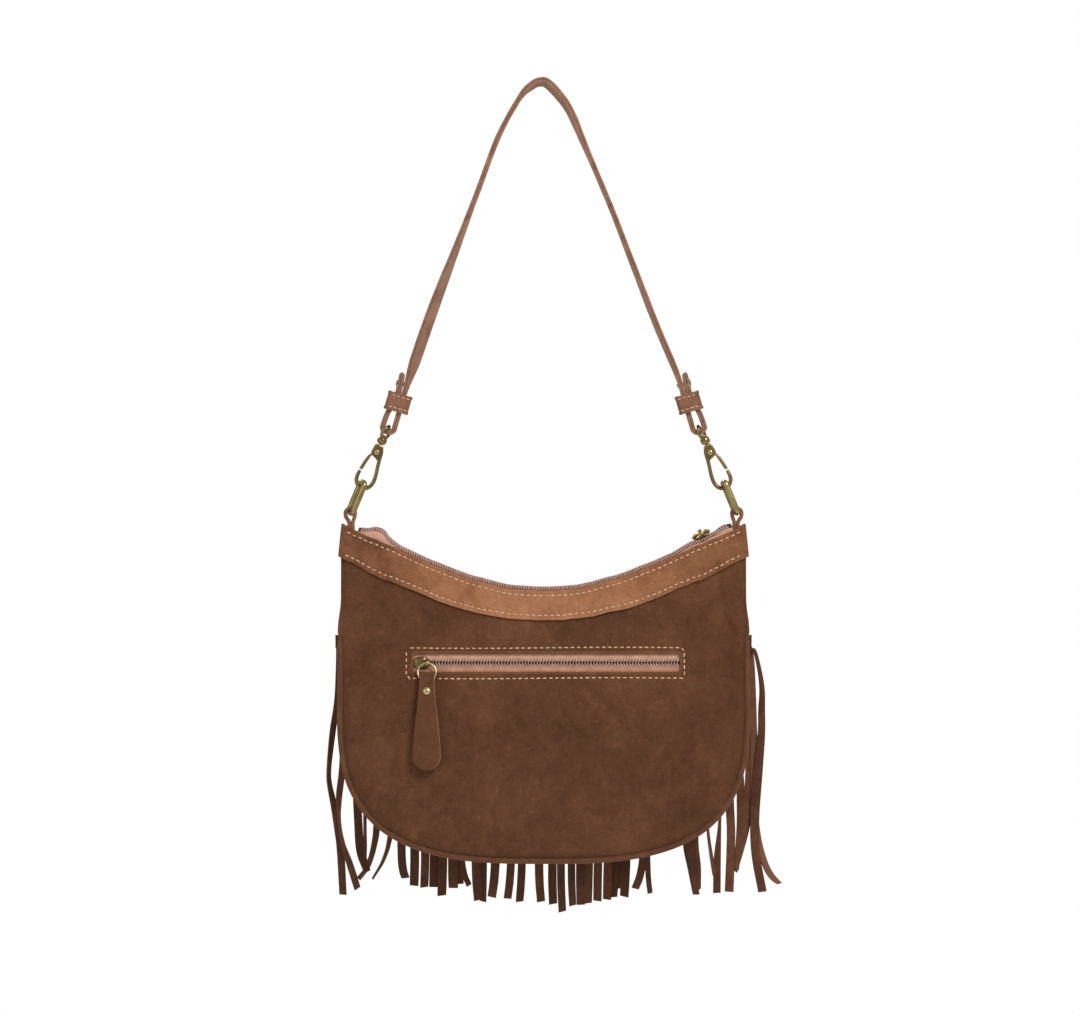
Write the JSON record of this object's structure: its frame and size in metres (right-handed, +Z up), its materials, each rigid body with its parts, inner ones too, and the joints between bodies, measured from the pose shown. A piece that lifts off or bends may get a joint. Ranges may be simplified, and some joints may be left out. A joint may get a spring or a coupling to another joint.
{
  "type": "fringed suede shoulder bag",
  "caption": "Small suede shoulder bag hanging by a clip-on strap, with a zipped curved mouth, a zipped back pocket and a long cut fringe on its front.",
  "frame": {"origin": "underside of the strap's apex, where the bag hangs", "axes": "+Z up, -Y towards the side with the pocket, +X to the right when looking at that side"},
  "size_m": [0.2888, 0.0615, 0.5383],
  "materials": {
    "suede": "napped",
    "band_suede": "napped",
    "fringe_suede": "napped",
    "strap_leather": "matt",
    "lining_cloth": "plain weave",
    "zip_tape": "twill",
    "zip_coil": "satin",
    "antique_brass": "antique satin"
  },
  "bodies": {
    "bag": {"back_panel": "suede", "front_panel": "suede", "gusset": "suede", "lining": "lining_cloth", "back_band": "band_suede", "front_band": "band_suede", "back_piping": "suede", "front_piping": "suede", "fringe": "fringe_suede", "pocket_tape_upper": "zip_tape", "pocket_tape_lower": "zip_tape", "pocket_coil_upper": "zip_coil", "pocket_coil_lower": "zip_coil", "pocket_lining": "lining_cloth", "mouth_tape_back": "zip_tape", "mouth_tape_front": "zip_tape", "mouth_coil_back": "zip_coil", "mouth_coil_front": "zip_coil", "side_tab_left": "suede", "side_tab_right": "suede", "strap": "strap_leather", "strap_rivet_left": "antique_brass", "strap_rivet_right": "antique_brass"},
    "pocket_slider": {"pocket_slider": "antique_brass"},
    "pocket_ring": {"pocket_pull_ring": "antique_brass"},
    "pocket_tab": {"pocket_pull_tab": "suede", "pocket_pull_rivet": "antique_brass"},
    "mouth_slider": {"mouth_slider": "antique_brass"},
    "mouth_ring": {"mouth_pull_ring": "antique_brass"},
    "mouth_tab": {"mouth_pull_tab": "suede", "mouth_pull_rivet": "antique_brass"},
    "keeper_left": {"strap_keeper_left": "strap_leather"},
    "eye_left": {"swivel_eye_left": "antique_brass"},
    "hook_left": {"hook_left": "antique_brass", "gate_pin_left": "antique_brass"},
    "gate_left": {"hook_gate_left": "antique_brass"},
    "ring_left": {"oval_ring_left": "antique_brass"},
    "keeper_right": {"strap_keeper_right": "strap_leather"},
    "eye_right": {"swivel_eye_right": "antique_brass"},
    "hook_right": {"hook_right": "antique_brass", "gate_pin_right": "antique_brass"},
    "gate_right": {"hook_gate_right": "antique_brass"},
    "ring_right": {"oval_ring_right": "antique_brass"}
  },
  "joints": [
    {"name": "pocket_zip", "type": "slide", "parent": "bag", "child": "pocket_slider", "axis": [1, 0, 0], "range_m": [0, 0.16]},
    {"name": "pocket_ring_swing", "type": "hinge", "parent": "pocket_slider", "child": "pocket_ring", "pos_m": [-0.0771, -0.01983, -0.375], "axis": [-1, 0, 0], "range_deg": [0, 75]},
    {"name": "pocket_tab_rock", "type": "hinge", "parent": "pocket_ring", "child": "pocket_tab", "pos_m": [-0.0771, -0.02289, -0.3864], "axis": [-1, 0, 0], "range_deg": [0, 4]},
    {"name": "mouth_zip", "type": "hinge", "parent": "bag", "child": "mouth_slider", "pos_m": [0, 0, -0.1335], "axis": [0, 1, 0], "range_deg": [-0.5, 63]},
    {"name": "mouth_ring_swing", "type": "hinge", "parent": "mouth_slider", "child": "mouth_ring", "pos_m": [0.10154, 0, -0.29213], "axis": [0.9135, 0, 0.4067], "range_deg": [0, 110]},
    {"name": "mouth_tab_rock", "type": "hinge", "parent": "mouth_ring", "child": "mouth_tab", "pos_m": [0.1027, 0.01145, -0.29473], "axis": [0.9135, 0, 0.4067], "range_deg": [0, 4]},
    {"name": "keeper_slide_left", "type": "slide", "parent": "bag", "child": "keeper_left", "axis": [-0.2822, 0, -0.9594], "range_m": [-0.008, 0]},
    {"name": "eye_swing_left", "type": "hinge", "parent": "bag", "child": "eye_left", "pos_m": [-0.1005, 0, -0.222], "axis": [0, 1, 0], "range_deg": [-4, 4]},
    {"name": "hook_swivel_left", "type": "hinge", "parent": "eye_left", "child": "hook_left", "pos_m": [-0.10532, 0, -0.23189], "axis": [-0.4384, 0, -0.8988], "range_deg": [-30, 30]},
    {"name": "gate_left", "type": "hinge", "parent": "hook_left", "child": "gate_left", "pos_m": [-0.10825, 0, -0.2388], "axis": [0, -1, 0], "range_deg": [0, 25], "stiffness_Nm_per_rad": 0.02, "springref_deg": -9.74},
    {"name": "ring_swing_left", "type": "hinge", "parent": "bag", "child": "ring_left", "pos_m": [-0.1256, 0, -0.27836], "axis": [0, 1, 0], "range_deg": [-7.3, 7.3]},
    {"name": "keeper_slide_right", "type": "slide", "parent": "bag", "child": "keeper_right", "axis": [0.2822, 0, -0.9594], "range_m": [-0.008, 0]},
    {"name": "eye_swing_right", "type": "hinge", "parent": "bag", "child": "eye_right", "pos_m": [0.1005, 0, -0.222], "axis": [0, 1, 0], "range_deg": [-4, 4]},
    {"name": "hook_swivel_right", "type": "hinge", "parent": "eye_right", "child": "hook_right", "pos_m": [0.10532, 0, -0.23189], "axis": [0.4384, 0, -0.8988], "range_deg": [-30, 30]},
    {"name": "gate_right", "type": "hinge", "parent": "hook_right", "child": "gate_right", "pos_m": [0.10825, 0, -0.2388], "axis": [0, 1, 0], "range_deg": [0, 25], "stiffness_Nm_per_rad": 0.02, "springref_deg": -9.74},
    {"name": "ring_swing_right", "type": "hinge", "parent": "bag", "child": "ring_right", "pos_m": [0.1256, 0, -0.27836], "axis": [0, 1, 0], "range_deg": [-7.3, 7.3]}
  ],
  "couplings": [
    {"joint": "ring_swing_left", "follows": "eye_swing_left", "ratio": -1.8},
    {"joint": "ring_swing_right", "follows": "eye_swing_right", "ratio": -1.8}
  ]
}
